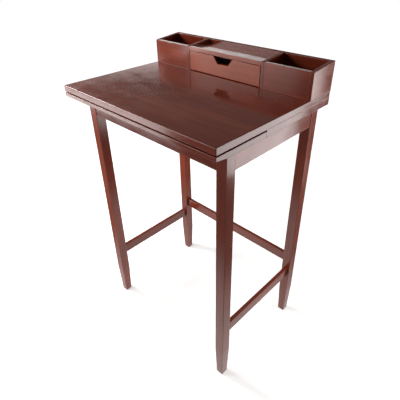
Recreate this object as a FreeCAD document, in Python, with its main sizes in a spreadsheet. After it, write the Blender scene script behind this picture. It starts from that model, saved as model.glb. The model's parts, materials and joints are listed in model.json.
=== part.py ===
import FreeCAD, Part
import math
import os
from types import SimpleNamespace

import Sketcher

# A clerk's standing desk, in millimetres. X runs to the right, Y to the rear, Z up.
# The origin lies on the floor, under the middle of the desk's outline.

# ---------------------------------------------------------------- driving sizes
SIZES = {
    # top
    "board_width": 728,
    "board_depth": 558,
    "work_height": 1060,
    "top_board_thickness": 21,
    "under_board_thickness": 24,
    "board_arris": 2.5,
    "edge_arris": 1,
    # base
    "side_overhang": 25,
    "front_overhang": 70,
    "rear_overhang": 17,
    "leg_section": 38,
    "foot_section": 29,
    "taper_height": 148,
    "leg_arris": 1.5,
    "apron_height": 73,
    "apron_thickness": 20,
    "side_inset": 2,
    "front_inset": 2,
    "rear_inset": 2,
    "stretcher_height": 42,
    "stretcher_thickness": 16,
    "side_stretcher_top": 272,
    "rear_stretcher_top": 339,
    "rail_arris": 1,
    # tenons
    "tenon_length": 15,
    "tenon_gap": 2,
    "apron_tenon_thickness": 10,
    "apron_tenon_shoulder": 12,
    "stretcher_tenon_thickness": 8,
    "stretcher_tenon_shoulder": 7,
    "joint_clearance": 0.1,
    # corner blocks and cleats
    "block_thickness": 20,
    "block_height": 45,
    "block_drop": 5,
    "block_screw_seat": 8,
    "cleat_section": 20,
    "cleat_end_gap": 4,
    # foot glides
    "glide_radius": 9,
    "glide_height": 2.5,
    "glide_pin_radius": 1.5,
    "glide_pin_length": 14,
    # screws
    "screw_radius": 2,
    "screw_head_radius": 4,
    "screw_head_height": 3,
    "screw_sink": 4,
    "driver_room": 22,
    "screw_length": 30,
    "leaf_screw_length": 28,
    "top_screw_length": 38,
    "block_screw_length": 24,
    "top_screw_inset": 25,
    "top_screw_spacing": 160,
    # pull-out leaf
    "leaf_depth": 208,
    "leaf_thickness": 18.5,
    "leaf_bevel_run": 42,
    "leaf_bevel_rise": 6,
    "leaf_arris": 1.5,
    "leaf_travel": 120,
    "seam_gap": 0.5,
    "slide_clearance": 0.3,
    "side_clearance": 0.5,
    "runner_spacing": 400,
    "runner_width": 22,
    "runner_height": 18,
    "runner_tail": 16,
    "runner_end_setback": 1,
    "leaf_screw_inset": 20,
    "leaf_screw_spacing": 42,
    "bearer_setback": 80,
    "bearer_thickness": 20,
    "bearer_height": 60,
    "bearer_housing": 5,
    "stop_pin_radius": 4,
    "stop_pin_drop": 8,
    "felt_radius": 8,
    "felt_inset_x": 64,
    "felt_inset_y": 50,
    # organizer
    "organizer_depth": 125,
    "organizer_front_height": 88,
    "organizer_rear_height": 100,
    "panel_thickness": 13,
    "drawer_opening": 338,
    "rail_height": 14,
    "tray_recess": 5,
    "tray_thickness": 9,
    "tray_housing": 4,
    # dowels
    "dowel_radius": 3,
    "dowel_length": 20,
    "dowel_in_face": 8,
    "end_clearance": 0.5,
    "dowel_low": 25,
    "dowel_high": 62,
    "dowel_inset": 33,
    # drawer
    "drawer_gap": 2.2,
    "drawer_front_thickness": 13,
    "drawer_rear_gap": 8,
    "drawer_top_gap": 3.7,
    "drawer_wall": 9,
    "drawer_bottom_thickness": 4,
    "drawer_bottom_rise": 5,
    "drawer_groove": 3,
    "drawer_rabbet": 7,
    "drawer_travel": 70,
    "stop_width": 60,
    "stop_depth": 10,
    "stop_overlap": 4,
    "notch_top_width": 90,
    "notch_bottom_width": 48,
    "notch_depth": 26,
    "nail_radius": 0.8,
    "nail_length": 18,
    "nail_inset": 16,
}

SIDES = {"left": -1, "right": 1}

# Screws in a row along one runner, and in a row across the under board.
RUNNER_SCREWS = 3
TOP_ROW_SCREWS = 4

doc = FreeCAD.newDocument("ClerksDesk")


def make_sheet():
    """The sheet of driving sizes, one named cell each."""
    sheet = doc.addObject("Spreadsheet::Sheet", "Sizes")
    for row, (name, value) in enumerate(SIZES.items(), start=1):
        sheet.set(f"A{row}", name)
        sheet.set(f"B{row}", str(value))
        sheet.setAlias(f"B{row}", name)
    doc.recompute()
    return sheet


sheet = make_sheet()
s = SimpleNamespace(**{name: f"Sizes.{name}" for name in SIZES})

# ---------------------------------------------------------------- named places
# Each place is an expression on the sheet's cells.
half_width = f"({s.board_width} / 2)"
front_edge = f"(-{s.board_depth} / 2)"
rear_edge = f"({s.board_depth} / 2)"
board_bottom = f"({s.work_height} - {s.top_board_thickness})"
frame_top = f"({board_bottom} - {s.under_board_thickness})"
apron_bottom = f"({frame_top} - {s.apron_height})"

leg_outer = f"({half_width} - {s.side_overhang})"
leg_inner = f"({leg_outer} - {s.leg_section})"
leg_front = f"({front_edge} + {s.front_overhang})"
leg_rear = f"({rear_edge} - {s.rear_overhang})"
front_leg_back = f"({leg_front} + {s.leg_section})"
rear_leg_front = f"({leg_rear} - {s.leg_section})"

side_apron_outer = f"({leg_outer} - {s.side_inset})"
side_apron_inner = f"({side_apron_outer} - {s.apron_thickness})"
front_apron_front = f"({leg_front} + {s.front_inset})"
front_apron_back = f"({front_apron_front} + {s.apron_thickness})"
rear_apron_back = f"({leg_rear} - {s.rear_inset})"
rear_apron_front = f"({rear_apron_back} - {s.apron_thickness})"

leaf_bottom = f"({frame_top} + {s.slide_clearance})"
leaf_top = f"({leaf_bottom} + {s.leaf_thickness})"
leaf_back = f"({front_edge} + {s.leaf_depth})"
seam = f"({leaf_back} + {s.seam_gap})"
bearer_front = f"({seam} + {s.bearer_setback})"
bearer_back = f"({bearer_front} + {s.bearer_thickness})"
runner_middle = f"({s.runner_spacing} / 2)"
runner_bottom = f"({leaf_bottom} - {s.runner_height})"
runner_rear_top = f"({frame_top} - {s.side_clearance})"
runner_front = f"({front_apron_front} + {s.runner_end_setback})"
stop_pin_y = f"({bearer_back} + {s.leaf_travel} + {s.stop_pin_radius} + {s.slide_clearance})"
runner_back = f"({stop_pin_y} + {s.runner_tail})"

organizer_front = f"({rear_edge} - {s.organizer_depth})"
panel_back = f"({organizer_front} + {s.panel_thickness})"
back_face = f"({rear_edge} - {s.panel_thickness})"
side_inner = f"({half_width} - {s.panel_thickness})"
divider_inner = f"({s.drawer_opening} / 2)"
divider_outer = f"({divider_inner} + {s.panel_thickness})"
bay_middle = f"(({divider_outer} + {side_inner}) / 2)"
front_top = f"({s.work_height} + {s.organizer_front_height})"
opening_top = f"({front_top} - {s.rail_height})"
tray_top = f"({front_top} - {s.tray_recess})"
tray_bottom = f"({tray_top} - {s.tray_thickness})"

drawer_half = f"({divider_inner} - {s.drawer_gap})"
drawer_inner_half = f"({drawer_half} - {s.drawer_wall})"
drawer_base = f"({s.work_height} + {s.slide_clearance})"
drawer_box_top = f"(min({opening_top}; {tray_bottom}) - {s.drawer_top_gap})"
drawer_front_back = f"({organizer_front} + {s.drawer_front_thickness})"
drawer_side_front = f"({drawer_front_back} - {s.drawer_rabbet})"
drawer_back = f"({back_face} - {s.drawer_rear_gap})"
drawer_back_front = f"({drawer_back} - {s.drawer_wall})"
drawer_floor = f"({drawer_base} + {s.drawer_bottom_rise})"
drawer_floor_top = f"({drawer_floor} + {s.drawer_bottom_thickness})"


def organizer_top(y):
    """Height of the organizer's sloping top at a depth y."""
    rise = f"({s.organizer_rear_height} - {s.organizer_front_height})"
    run = f"(({y}) - {organizer_front}) / {s.organizer_depth}"
    return f"({front_top} + {rise} * {run})"


# ---------------------------------------------------------------- small tools
AXES = {"x": FreeCAD.Vector(1, 0, 0), "y": FreeCAD.Vector(0, 1, 0), "z": FreeCAD.Vector(0, 0, 1)}
PLANES = {"x": "YZ_Plane", "y": "XZ_Plane", "z": "XY_Plane"}


def number(text):
    """The value of an expression, now."""
    return float(sheet.evalExpression(text))


def across(side, near, far):
    """The span in X between two distances from the middle, on one side."""
    if side > 0:
        return near, far
    return f"(-{far})", f"(-{near})"


def about(middle, width):
    """The span of a width about its middle."""
    return f"({middle} - {width} / 2)", f"({middle} + {width} / 2)"


def grown(span, amount):
    """A span made longer at both ends."""
    return f"({span[0]} - {amount})", f"({span[1]} + {amount})"


def place(item, at):
    """Bind an object's position to three expressions."""
    for axis, text in zip("xyz", at):
        item.setExpression(f"Placement.Base.{axis}", text)


def box(name, xs, ys, zs):
    """A block between two planes along each axis."""
    block = doc.addObject("Part::Box", name)
    for edge, span in zip(("Length", "Width", "Height"), (xs, ys, zs)):
        block.setExpression(edge, f"{span[1]} - {span[0]}")
    place(block, (xs[0], ys[0], zs[0]))
    return block


def rod(name, start, direction, length, radius):
    """A cylinder from a start point along a signed axis such as '-x'."""
    cylinder = doc.addObject("Part::Cylinder", name)
    vector = AXES[direction[1]] * (1 if direction[0] == "+" else -1)
    cylinder.Placement.Rotation = FreeCAD.Rotation(AXES["z"], vector)
    cylinder.setExpression("Height", length)
    cylinder.setExpression("Radius", radius)
    place(cylinder, start)
    return cylinder


def moved(point, direction, amount):
    """A point moved along a signed axis by an amount."""
    shifted = list(point)
    index = "xyz".index(direction[1])
    shifted[index] = f"({point[index]} {direction[0]} {amount})"
    return tuple(shifted)


def together(name, items):
    """Several solids kept side by side."""
    group = doc.addObject("Part::Compound", name)
    group.Links = items
    return group


def joined(name, items):
    """Several touching solids made one."""
    fusion = doc.addObject("Part::MultiFuse", name)
    fusion.Shapes = items
    fusion.Refine = True
    return fusion


def cut(name, base, tools):
    """A piece with tools taken out of it."""
    result = doc.addObject("Part::Cut", name)
    result.Base = base
    result.Tool = tools[0] if len(tools) == 1 else together(f"{name}_tools", tools)
    return result


def prism(name, axis, outline, span):
    """A body padded along an axis from an outline of expression pairs."""
    body = doc.addObject("PartDesign::Body", name)
    sketch = body.newObject("Sketcher::SketchObject", f"{name}_outline")
    plane = next(item for item in body.Origin.OriginFeatures if item.Role == PLANES[axis])
    sketch.AttachmentSupport = [(plane, "")]
    sketch.MapMode = "FlatFace"
    corners = [FreeCAD.Vector(number(u), number(v), 0) for u, v in outline]
    for start, end in zip(corners, corners[1:] + corners[:1]):
        sketch.addGeometry(Part.LineSegment(start, end))
    for index, (u, v) in enumerate(outline):
        after = (index + 1) % len(outline)
        sketch.addConstraint(Sketcher.Constraint("Coincident", index, 2, after, 1))
        for kind, text in (("DistanceX", u), ("DistanceY", v)):
            held = sketch.addConstraint(Sketcher.Constraint(kind, -1, 1, index, 1, number(text)))
            sketch.setExpression(f"Constraints[{held}]", text)
    pad = body.newObject("PartDesign::Pad", f"{name}_pad")
    pad.Profile = sketch
    pad.Reversed = axis == "y"
    pad.setExpression("Length", f"{span[1]} - {span[0]}")
    body.setExpression(f"Placement.Base.{axis}", span[0])
    sketch.Visibility = False
    doc.recompute()
    return body


def soften(body, radius, chosen):
    """Round the edges of a body that a test of their end points chooses."""
    solid = body.Tip
    names = []
    for index, edge in enumerate(solid.Shape.Edges, start=1):
        ends = [vertex.Point + body.Placement.Base for vertex in edge.Vertexes]
        if chosen(ends):
            names.append(f"Edge{index}")
    rounding = body.newObject("PartDesign::Fillet", f"{body.Name}_arris")
    rounding.Base = (solid, names)
    rounding.setExpression("Radius", radius)
    doc.recompute()
    return body


def all_at(axis, text):
    """A test that every end point lies at one place along an axis."""
    level = number(text)
    return lambda ends: all(abs(getattr(end, axis) - level) < 0.01 for end in ends)


def along(axis):
    """A test that an edge runs along an axis."""
    return lambda ends: abs(getattr(ends[0], axis) - getattr(ends[-1], axis)) > 0.01


def any_of(*tests):
    """A test that passes where one of several tests does."""
    return lambda ends: any(test(ends) for test in tests)


pieces = {}


def keep(name, item):
    """File a finished piece under its own name."""
    item.Label = name
    pieces[name] = item
    return item


# ---------------------------------------------------------------- screws, dowels, nails
def screw_set(name, seats, length):
    """Screws, each from the seat of its head along a direction, and the holes they need."""
    screws = []
    holes = []
    for index, (seat, direction) in enumerate(seats, start=1):
        head_top = moved(seat, direction, f"-{s.screw_head_height}")
        head = rod(f"{name}_head{index}", head_top, direction, s.screw_head_height, s.screw_head_radius)
        shank = rod(f"{name}_shank{index}", seat, direction, length, s.screw_radius)
        screws.append(joined(f"{name}_screw{index}", [head, shank]))
        bore_radius = f"{s.screw_radius} + {s.joint_clearance}"
        bore = rod(f"{name}_bore{index}", seat, direction, f"{length} + {s.end_clearance}", bore_radius)
        mouth_start = moved(seat, direction, f"-{s.driver_room}")
        mouth_radius = f"{s.screw_head_radius} + {s.slide_clearance}"
        mouth = rod(f"{name}_mouth{index}", mouth_start, direction, s.driver_room, mouth_radius)
        holes.append(joined(f"{name}_hole{index}", [bore, mouth]))
    keep(name, together(f"{name}_set", screws))
    return together(f"{name}_holes", holes)


def dowel_set(name, starts):
    """Dowels, each from a start point along a direction, and the holes they need."""
    dowels = []
    holes = []
    for index, (start, direction) in enumerate(starts, start=1):
        dowels.append(rod(f"{name}_peg{index}", start, direction, s.dowel_length, s.dowel_radius))
        hole_start = moved(start, direction, f"-{s.end_clearance}")
        hole_length = f"{s.dowel_length} + 2 * {s.end_clearance}"
        hole_radius = f"{s.dowel_radius} + {s.joint_clearance}"
        holes.append(rod(f"{name}_hole{index}", hole_start, direction, hole_length, hole_radius))
    keep(name, together(f"{name}_set", dowels))
    return together(f"{name}_holes", holes)


# ---------------------------------------------------------------- base
def rail(name, axis, body_spans, tongue_spans, cuts=()):
    """A rail along X or Y with a tenon at each end, and the block that cuts its two mortises."""
    span_x, span_y, span_z = body_spans
    length, width = (span_x, span_y) if axis == "x" else (span_y, span_x)
    outline = [
        (width[0], span_z[0]),
        (width[1], span_z[0]),
        (width[1], span_z[1]),
        (width[0], span_z[1]),
    ]
    stick = prism(f"{name}_stick", axis, outline, length)
    soften(stick, s.rail_arris, along(axis))
    tongue = box(f"{name}_tongue", *tongue_spans)
    whole = joined(f"{name}_rail", [stick, tongue])
    keep(name, cut(f"{name}_cut", whole, list(cuts)) if cuts else whole)
    return box(f"{name}_mortises", *(grown(span, s.joint_clearance) for span in tongue_spans))


def tenon_height(bottom, top, shoulder):
    """The span of a tenon between its two shoulders."""
    return f"({bottom} + {shoulder})", f"({top} - {shoulder})"


def make_aprons(runner_paths, housings, screw_holes):
    """Four aprons under the top, let into the legs."""
    heights = (apron_bottom, frame_top)
    tenon_heights = tenon_height(*heights, s.apron_tenon_shoulder)
    across_legs = (f"(-{leg_inner})", leg_inner)
    side_tenon = f"({s.side_inset} + ({s.apron_thickness} + {s.apron_tenon_thickness}) / 2)"
    end_tenon_length = f"({s.leg_section} - {side_tenon} - {s.tenon_gap})"
    mortises = {}
    rows = {"front": (front_apron_front, front_apron_back), "rear": (rear_apron_front, rear_apron_back)}
    for end, ys in rows.items():
        middle = f"(({ys[0]} + {ys[1]}) / 2)"
        tongue = (grown(across_legs, end_tenon_length), about(middle, s.apron_tenon_thickness), tenon_heights)
        cuts = screw_holes + (runner_paths if end == "front" else [])
        mortises[end] = rail(f"apron_{end}", "x", (across_legs, ys, heights), tongue, cuts)
    along_legs = (front_leg_back, rear_leg_front)
    middle = f"({side_apron_outer} - {s.apron_thickness} / 2)"
    for word, side in SIDES.items():
        body = (across(side, side_apron_inner, side_apron_outer), along_legs, heights)
        tongue_x = about(f"({side} * {middle})", s.apron_tenon_thickness)
        tongue = (tongue_x, grown(along_legs, s.tenon_length), tenon_heights)
        mortises[word] = rail(f"apron_{word}", "y", body, tongue, housings + screw_holes)
    return mortises


def make_stretchers():
    """Two side stretchers and a higher rear one, let into the legs at their middles."""
    leg_middle = f"({leg_outer} - {s.leg_section} / 2)"
    along_legs = (front_leg_back, rear_leg_front)
    side_heights = (f"({s.side_stretcher_top} - {s.stretcher_height})", s.side_stretcher_top)
    mortises = {}
    for word, side in SIDES.items():
        middle = f"({side} * {leg_middle})"
        body = (about(middle, s.stretcher_thickness), along_legs, side_heights)
        tongue = (
            about(middle, s.stretcher_tenon_thickness),
            grown(along_legs, s.tenon_length),
            tenon_height(*side_heights, s.stretcher_tenon_shoulder),
        )
        mortises[word] = rail(f"stretcher_{word}", "y", body, tongue)
    middle = f"({leg_rear} - {s.leg_section} / 2)"
    across_legs = (f"(-{leg_inner})", leg_inner)
    heights = (f"({s.rear_stretcher_top} - {s.stretcher_height})", s.rear_stretcher_top)
    body = (across_legs, about(middle, s.stretcher_thickness), heights)
    tongue = (
        grown(across_legs, s.tenon_length),
        about(middle, s.stretcher_tenon_thickness),
        tenon_height(*heights, s.stretcher_tenon_shoulder),
    )
    mortises["rear"] = rail("stretcher_rear", "x", body, tongue)
    return mortises


def rounded_square(body, name, xs, ys, level):
    """A square sketch with rounded corners, lying at a height above the floor."""
    sketch = body.newObject("Sketcher::SketchObject", name)
    plane = next(item for item in body.Origin.OriginFeatures if item.Role == PLANES["z"])
    sketch.AttachmentSupport = [(plane, "")]
    sketch.MapMode = "FlatFace"
    sketch.setExpression("AttachmentOffset.Base.z", level)
    left, right, front, back = (number(text) for text in (*xs, *ys))
    radius = number(s.leg_arris)
    straights = [
        ((left + radius, front), (right - radius, front)),
        ((right, front + radius), (right, back - radius)),
        ((right - radius, back), (left + radius, back)),
        ((left, back - radius), (left, front + radius)),
    ]
    for start, end in straights:
        sketch.addGeometry(Part.LineSegment(FreeCAD.Vector(*start, 0), FreeCAD.Vector(*end, 0)))
    middles = [
        (right - radius, front + radius),
        (right - radius, back - radius),
        (left + radius, back - radius),
        (left + radius, front + radius),
    ]
    for quarter, middle in enumerate(middles):
        circle = Part.Circle(FreeCAD.Vector(*middle, 0), AXES["z"], radius)
        start_angle = (quarter - 1) * math.pi / 2
        sketch.addGeometry(Part.ArcOfCircle(circle, start_angle, start_angle + math.pi / 2))
    for index in range(4):
        corner = index + 4
        sketch.addConstraint(Sketcher.Constraint("Tangent", index, 2, corner, 1))
        sketch.addConstraint(Sketcher.Constraint("Tangent", corner, 2, (index + 1) % 4, 1))
        sketch.addConstraint(Sketcher.Constraint("Vertical" if index % 2 else "Horizontal", index))
        if index:
            sketch.addConstraint(Sketcher.Constraint("Equal", 4, corner))
    held = sketch.addConstraint(Sketcher.Constraint("Radius", 4, radius))
    sketch.setExpression(f"Constraints[{held}]", s.leg_arris)
    limits = (("DistanceY", ys[0]), ("DistanceX", xs[1]), ("DistanceY", ys[1]), ("DistanceX", xs[0]))
    for index, (kind, text) in enumerate(limits):
        held = sketch.addConstraint(Sketcher.Constraint(kind, -1, 1, index, 1, number(text)))
        sketch.setExpression(f"Constraints[{held}]", text)
    sketch.Visibility = False
    return sketch


def make_leg(name, xs, ys, cuts):
    """A square leg tapered on all four sides to the foot, with its mortises."""
    slim = f"(({s.foot_section} - {s.leg_section}) / 2)"
    body = doc.addObject("PartDesign::Body", f"{name}_body")
    top = rounded_square(body, f"{name}_top", xs, ys, frame_top)
    taper = rounded_square(body, f"{name}_taper", xs, ys, s.taper_height)
    foot = rounded_square(body, f"{name}_foot", grown(xs, slim), grown(ys, slim), s.glide_height)
    doc.recompute()
    loft = body.newObject("PartDesign::AdditiveLoft", f"{name}_loft")
    loft.Profile = top
    loft.Sections = [taper, foot]
    loft.Ruled = True
    keep(name, cut(f"{name}_cut", body, cuts))


def make_legs(aprons, stretchers, glide_holes):
    """Four legs, each cut for the rails that meet in it."""
    rows = {"front": (leg_front, front_leg_back), "rear": (rear_leg_front, leg_rear)}
    for end, ys in rows.items():
        for word, side in SIDES.items():
            cuts = [aprons[end], aprons[word], stretchers[word], glide_holes]
            if end == "rear":
                cuts.append(stretchers["rear"])
            make_leg(f"leg_{end}_{word}", across(side, leg_inner, leg_outer), ys, cuts)


def make_glides():
    """Nail-on glides, a disc with a pin, under the middle of each foot."""
    glides = []
    pin_holes = []
    x = f"({leg_outer} - {s.leg_section} / 2)"
    for y in (f"({leg_front} + {s.leg_section} / 2)", f"({leg_rear} - {s.leg_section} / 2)"):
        for side in SIDES.values():
            mark = len(glides) + 1
            foot = (f"({side} * {x})", y, "0")
            head = (foot[0], y, s.glide_height)
            disc = rod(f"glide_disc{mark}", foot, "+z", s.glide_height, s.glide_radius)
            pin = rod(f"glide_pin{mark}", head, "+z", s.glide_pin_length, s.glide_pin_radius)
            glides.append(joined(f"glide{mark}", [disc, pin]))
            hole_depth = f"{s.glide_pin_length} + {s.end_clearance}"
            hole_radius = f"{s.glide_pin_radius} + {s.joint_clearance}"
            pin_holes.append(rod(f"glide_hole{mark}", head, "+z", hole_depth, hole_radius))
    keep("foot_glides", together("foot_glides_set", glides))
    return together("glide_holes", pin_holes)


def block_corner(side, end):
    """Where the inner faces of two aprons meet, and how far the block keeps from there."""
    x = f"({side} * {side_apron_inner})"
    y = front_apron_back if end < 0 else rear_apron_front
    inset = s.front_inset if end < 0 else s.rear_inset
    leg_past_side = f"({s.leg_section} - {s.side_inset} - {s.apron_thickness})"
    leg_past_end = f"({s.leg_section} - {inset} - {s.apron_thickness})"
    near = f"({leg_past_side} + {leg_past_end} + {s.slide_clearance})"
    far = f"({near} + {s.block_thickness} * sqrt(2))"
    return SimpleNamespace(x=x, y=y, near=near, far=far)


def make_corner_blocks():
    """Diagonal blocks in the base's corners, each screwed to its two aprons."""
    top = f"({frame_top} - {s.block_drop})"
    heights = (f"({top} - {s.block_height})", top)
    middle_height = f"({top} - {s.block_height} / 2)"
    corners = [
        (f"corner_block_{end_word}_{word}", end, side)
        for end_word, end in (("front", -1), ("rear", 1))
        for word, side in SIDES.items()
    ]
    seats = []
    for name, end, side in corners:
        corner = block_corner(side, end)
        middle = f"(({corner.near} + {corner.far}) / 2)"
        beside_x = f"({corner.x} - {side} * {middle})"
        beside_y = f"({corner.y} - {end} * {middle})"
        seat_y = (beside_x, f"({corner.y} - {end} * {s.block_screw_seat})", middle_height)
        seat_x = (f"({corner.x} - {side} * {s.block_screw_seat})", beside_y, middle_height)
        seats.append((seat_y, "+y" if end > 0 else "-y"))
        seats.append((seat_x, "+x" if side > 0 else "-x"))
    holes = screw_set("corner_block_screws", seats, s.block_screw_length)
    for name, end, side in corners:
        corner = block_corner(side, end)
        outline = [
            (f"{corner.x} - {side} * {corner.near}", corner.y),
            (f"{corner.x} - {side} * {corner.far}", corner.y),
            (corner.x, f"{corner.y} - {end} * {corner.far}"),
            (corner.x, f"{corner.y} - {end} * {corner.near}"),
        ]
        keep(name, cut(f"{name}_cut", prism(f"{name}_body", "z", outline, heights), [holes]))
    return holes


def make_cleats():
    """Square strips inside the side aprons that hold the top down."""
    seats_across = []
    seats_up = []
    middle_x = f"({side_apron_inner} - {s.cleat_section} / 2)"
    seat_x = f"({side_apron_inner} - {s.cleat_section} + {s.screw_sink})"
    middle_z = f"({frame_top} - {s.cleat_section} / 2)"
    seat_z = f"({frame_top} - {s.cleat_section} + {s.screw_sink})"
    rear_block = block_corner(1, 1)
    cleat_back = f"({rear_block.y} - {rear_block.far} - {s.cleat_end_gap})"
    cleat_length = f"({cleat_back} - {bearer_back})"
    third = f"({cleat_length} / 3)"
    sixth = f"({cleat_length} / 6)"
    for side in SIDES.values():
        toward_apron = "+x" if side > 0 else "-x"
        for y in (f"({bearer_back} + {third})", f"({bearer_back} + 2 * {third})"):
            seats_across.append(((f"({side} * {seat_x})", y, middle_z), toward_apron))
        for y in (f"({bearer_back} + {sixth})", f"({bearer_back} + 5 * {sixth})"):
            seats_up.append(((f"({side} * {middle_x})", y, seat_z), "+z"))
    holes_across = screw_set("cleat_screws", seats_across, s.screw_length)
    holes_up = screw_set("top_fixing_screws", seats_up, s.screw_length)
    ys = (bearer_back, cleat_back)
    zs = (f"({frame_top} - {s.cleat_section})", frame_top)
    cleat_inner = f"({side_apron_inner} - {s.cleat_section})"
    for word, side in SIDES.items():
        name = f"top_cleat_{word}"
        stick = box(f"{name}_stick", across(side, cleat_inner, side_apron_inner), ys, zs)
        keep(name, cut(f"{name}_cut", stick, [holes_across, holes_up]))
    return holes_across, holes_up


# ---------------------------------------------------------------- pull-out leaf
def runner_paths():
    """The room that the runners need through the front apron and the bearer."""
    paths = []
    zs = (f"({runner_bottom} - {s.slide_clearance})", f"({frame_top} + {s.slide_clearance})")
    ys = (leg_front, f"({bearer_back} + {s.slide_clearance})")
    for word, side in SIDES.items():
        xs = grown(about(f"({side} * {runner_middle})", s.runner_width), s.side_clearance)
        paths.append(box(f"runner_path_{word}", xs, ys, zs))
    return paths


def make_bearer(paths):
    """The cross rail that carries the runners' rear ends, housed in the side aprons."""
    reach = f"({side_apron_inner} + {s.bearer_housing})"
    spans = (
        (f"(-{reach})", reach),
        (bearer_front, bearer_back),
        (f"({frame_top} - {s.bearer_height})", frame_top),
    )
    keep("leaf_bearer", cut("leaf_bearer_cut", box("leaf_bearer_stick", *spans), paths))
    return box("leaf_bearer_housings", *(grown(span, s.joint_clearance) for span in spans))


def make_leaf():
    """The leaf that slides out under the top board, thinned under its front edge."""
    seat_z = f"({runner_bottom} + {s.screw_sink})"
    last_y = f"({leaf_back} - {s.leaf_screw_inset})"
    seats = []
    for side in SIDES.values():
        for step in range(RUNNER_SCREWS):
            y = f"({last_y} - {step} * {s.leaf_screw_spacing})"
            seats.append(((f"({side} * {runner_middle})", y, seat_z), "+z"))
    holes = screw_set("leaf_screws", seats, s.leaf_screw_length)
    outline = [
        (front_edge, f"{leaf_bottom} + {s.leaf_bevel_rise}"),
        (f"{front_edge} + {s.leaf_bevel_run}", leaf_bottom),
        (leaf_back, leaf_bottom),
        (leaf_back, leaf_top),
        (front_edge, leaf_top),
    ]
    board = prism("leaf_board", "x", outline, (f"(-{half_width})", half_width))
    at_seam = all_at("y", leaf_back)
    on_outside = any_of(
        all_at("x", f"-{half_width}"),
        all_at("x", half_width),
        all_at("y", front_edge),
    )
    soften(board, s.leaf_arris, lambda ends: on_outside(ends) and not at_seam(ends))
    keep("pull_out_leaf", cut("leaf_cut", board, [holes]))
    return holes


def make_runners(screw_holes):
    """Two runners under the leaf, each with a pin that stops at the bearer."""
    pin_length = f"({s.stop_pin_drop} + {runner_rear_top} - {runner_bottom})"
    step_y = f"({leaf_back} - {s.runner_end_setback})"
    outline = [
        (runner_front, runner_bottom),
        (runner_back, runner_bottom),
        (runner_back, runner_rear_top),
        (step_y, runner_rear_top),
        (step_y, leaf_bottom),
        (runner_front, leaf_bottom),
    ]
    pins = []
    for word, side in SIDES.items():
        name = f"leaf_runner_{word}"
        x = f"({side} * {runner_middle})"
        pin_start = (x, stop_pin_y, f"({runner_bottom} - {s.stop_pin_drop})")
        pins.append(rod(f"stop_pin_{word}", pin_start, "+z", pin_length, s.stop_pin_radius))
        hole_length = f"{pin_length} + {s.runner_height}"
        hole_radius = f"{s.stop_pin_radius} + {s.joint_clearance}"
        hole = rod(f"stop_pin_hole_{word}", pin_start, "+z", hole_length, hole_radius)
        bar = prism(f"{name}_bar", "x", outline, about(x, s.runner_width))
        keep(name, cut(f"{name}_cut", bar, [screw_holes, hole]))
    keep("leaf_stop_pins", together("leaf_stop_pins_set", pins))


def make_felt_pads():
    """Felt pads under the top board, just clear of the leaf."""
    pads = []
    start_z = f"({leaf_top} + {s.slide_clearance})"
    thickness = f"{board_bottom} - {start_z}"
    x = f"({half_width} - {s.felt_inset_x})"
    for side in SIDES.values():
        for y in (f"({front_edge} + {s.felt_inset_y})", f"({leaf_back} - {s.felt_inset_y})"):
            start = (f"({side} * {x})", y, start_z)
            pads.append(rod(f"felt_pad{len(pads) + 1}", start, "+z", thickness, s.felt_radius))
    keep("leaf_felt_pads", together("leaf_felt_pads_set", pads))


# ---------------------------------------------------------------- top
def make_top_screws():
    """Screws that hold the under board up to the top board."""
    seats = []
    rows = (f"({seam} + {s.top_screw_inset})", f"({rear_apron_front} - {s.top_screw_inset})")
    for y in rows:
        for index in range(TOP_ROW_SCREWS):
            half_steps = 2 * index + 1 - TOP_ROW_SCREWS
            x = f"({half_steps} * {s.top_screw_spacing} / 2)"
            seats.append(((x, y, f"({frame_top} + {s.screw_sink})"), "+z"))
    return screw_set("top_board_screws", seats, s.top_screw_length)


def make_under_board(screw_holes):
    """The fixed rear part of the lower layer."""
    outline = [
        (f"-{half_width}", seam),
        (half_width, seam),
        (half_width, rear_edge),
        (f"-{half_width}", rear_edge),
    ]
    board = prism("under_board_body", "z", outline, (frame_top, board_bottom))
    outside = any_of(all_at("x", f"-{half_width}"), all_at("x", half_width), all_at("y", rear_edge))
    soften(board, s.edge_arris, outside)
    keep("under_board", cut("under_board_cut", board, screw_holes))


def make_top_board(screw_holes, dowel_holes):
    """The writing surface, with rounded edges."""
    outline = [
        (f"-{half_width}", front_edge),
        (half_width, front_edge),
        (half_width, rear_edge),
        (f"-{half_width}", rear_edge),
    ]
    board = prism("top_board_body", "z", outline, (board_bottom, s.work_height))
    soften(board, s.board_arris, lambda ends: not all_at("z", board_bottom)(ends))
    keep("top_board", cut("top_board_cut", board, [screw_holes, dowel_holes]))


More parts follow.
